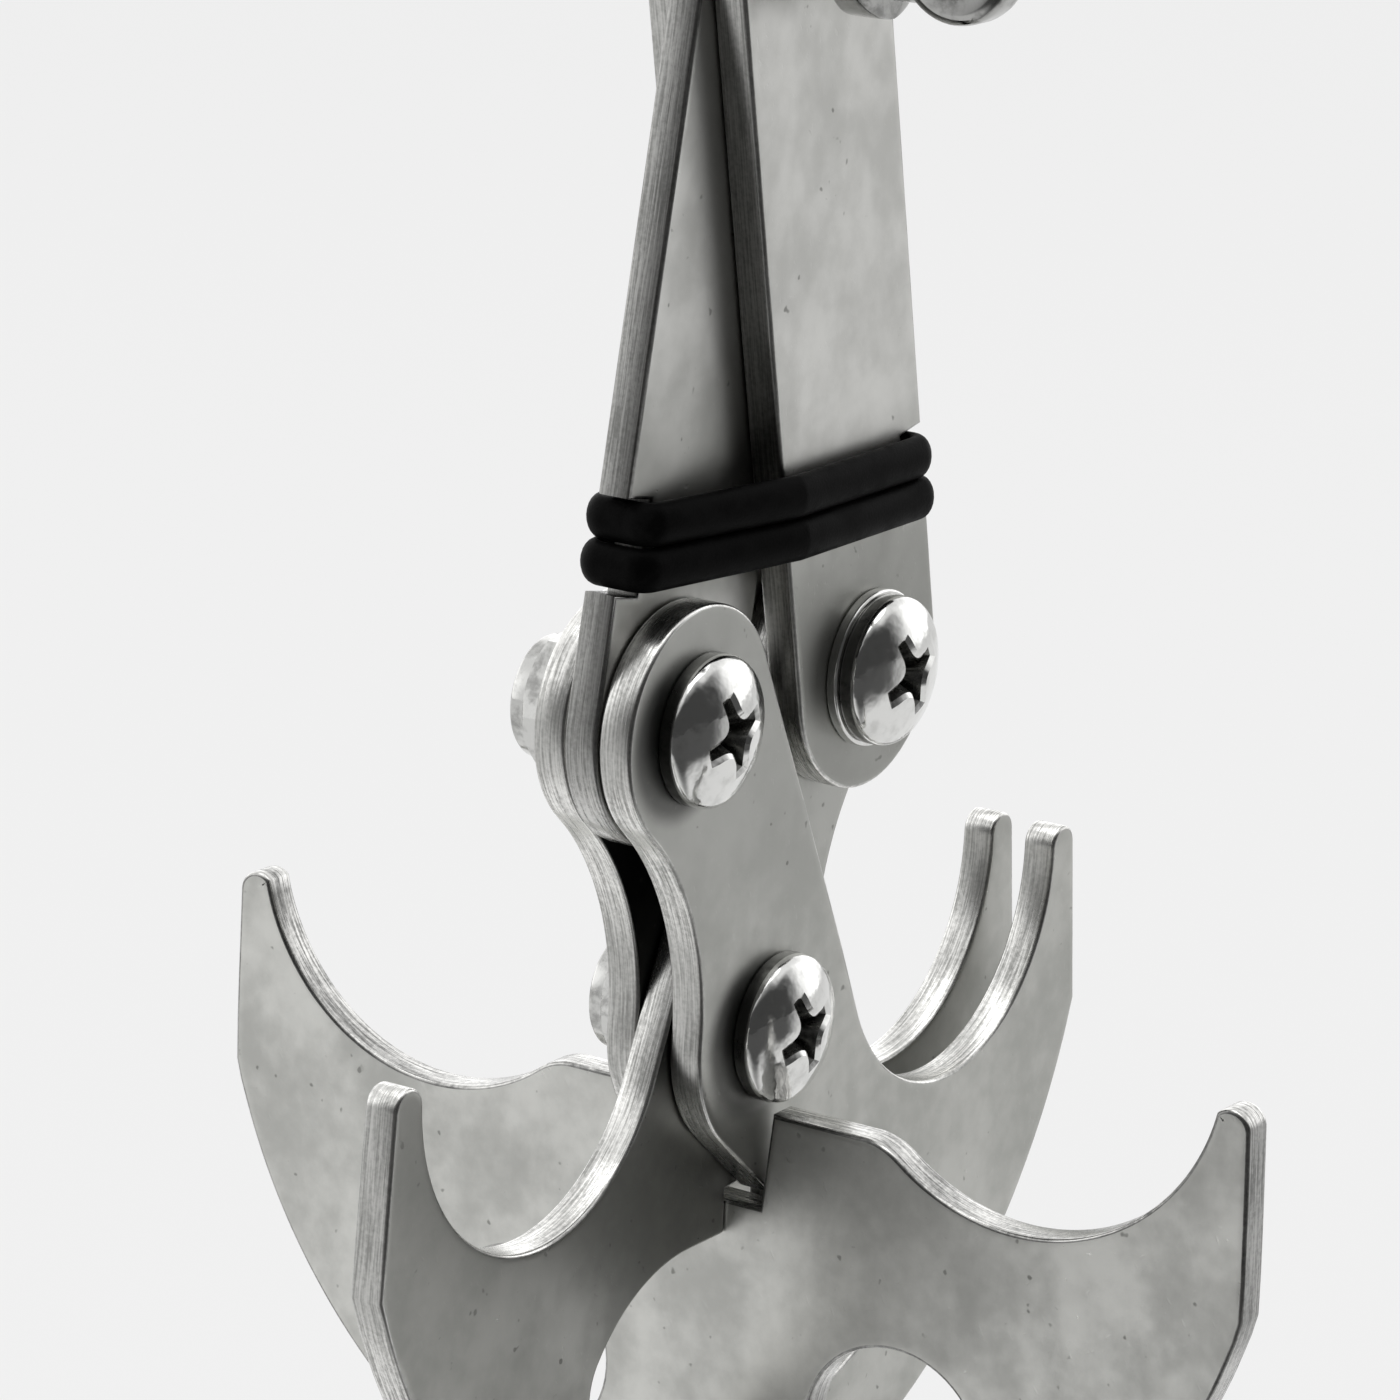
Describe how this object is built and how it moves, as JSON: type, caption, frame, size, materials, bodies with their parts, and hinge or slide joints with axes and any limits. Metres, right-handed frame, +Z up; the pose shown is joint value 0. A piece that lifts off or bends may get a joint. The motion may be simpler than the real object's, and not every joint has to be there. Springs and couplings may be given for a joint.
{
  "type": "folding grapnel anchor",
  "caption": "Folding plate grapnel: scissor jaws on linked arms, a removable cross claw gripped between them, rubber rings that hold it shut, and a screw shackle for the rope.",
  "frame": {"origin": "the point inside the shackle's crown where the rope bears", "axes": "+Z up along the rope, +X from the single-plate jaw to the double-plate jaw, +Y along the pivots away from the screw heads"},
  "size_m": [0.088, 0.0896, 0.1498],
  "materials": {
    "plate_steel": "satin stainless plate with fine scratches and bright cut edges",
    "cross_steel": "satin stainless plate, softly mottled, with bright cut edges",
    "screw_steel": "polished stainless",
    "nut_steel": "bright machined stainless",
    "shackle_steel": "polished stainless",
    "rubber": "black rubber cord, satin",
    "nylon": "milky nylon"
  },
  "bodies": {
    "shackle": {"shackle_bow": "shackle_steel", "shackle_pin": "shackle_steel"},
    "right_arm": {"right_arm_front": "plate_steel", "right_arm_rear": "plate_steel", "right_pivot_screw": "screw_steel", "right_pivot_washer": "screw_steel", "right_pivot_nut": "nut_steel", "right_nut_insert": "nylon", "upper_rubber_ring": "rubber", "lower_rubber_ring": "rubber"},
    "left_arm": {"left_arm": "plate_steel"},
    "left_jaw": {"left_jaw": "plate_steel"},
    "right_jaw": {"right_jaw_front": "plate_steel", "right_jaw_rear": "plate_steel", "left_pivot_screw": "screw_steel", "left_pivot_nut": "nut_steel", "left_nut_insert": "nylon", "centre_pivot_screw": "screw_steel", "centre_pivot_nut": "nut_steel", "centre_nut_insert": "nylon"},
    "cross_claw": {"cross_claw": "cross_steel"}
  },
  "joints": [
    {"name": "shackle_swing", "type": "hinge", "parent": "shackle", "child": "right_arm", "pos_m": [0, 0, -0.02], "axis": [0, 1, 0], "range_deg": [-100, 100]},
    {"name": "arm_spread", "type": "hinge", "parent": "right_arm", "child": "left_arm", "pos_m": [0, 0, -0.02], "axis": [0, 1, 0], "range_deg": [0, 23], "deforming": ["upper_rubber_ring", "lower_rubber_ring"]},
    {"name": "left_jaw_turn", "type": "hinge", "parent": "right_arm", "child": "left_jaw", "pos_m": [0.011, 0, -0.075], "axis": [0, 1, 0], "range_deg": [0, 40]},
    {"name": "right_jaw_turn", "type": "hinge", "parent": "left_arm", "child": "right_jaw", "pos_m": [-0.011, 0, -0.075], "axis": [0, 1, 0], "range_deg": [-40, 0]},
    {"name": "cross_claw_slide", "type": "slide", "parent": "left_jaw", "child": "cross_claw", "axis": [0, 0, -1], "range_m": [0, 0.03]}
  ],
  "couplings": [
    {"joint": "left_jaw_turn", "follows": "arm_spread", "ratio": 1.73},
    {"joint": "right_jaw_turn", "follows": "arm_spread", "ratio": -1.73}
  ]
}
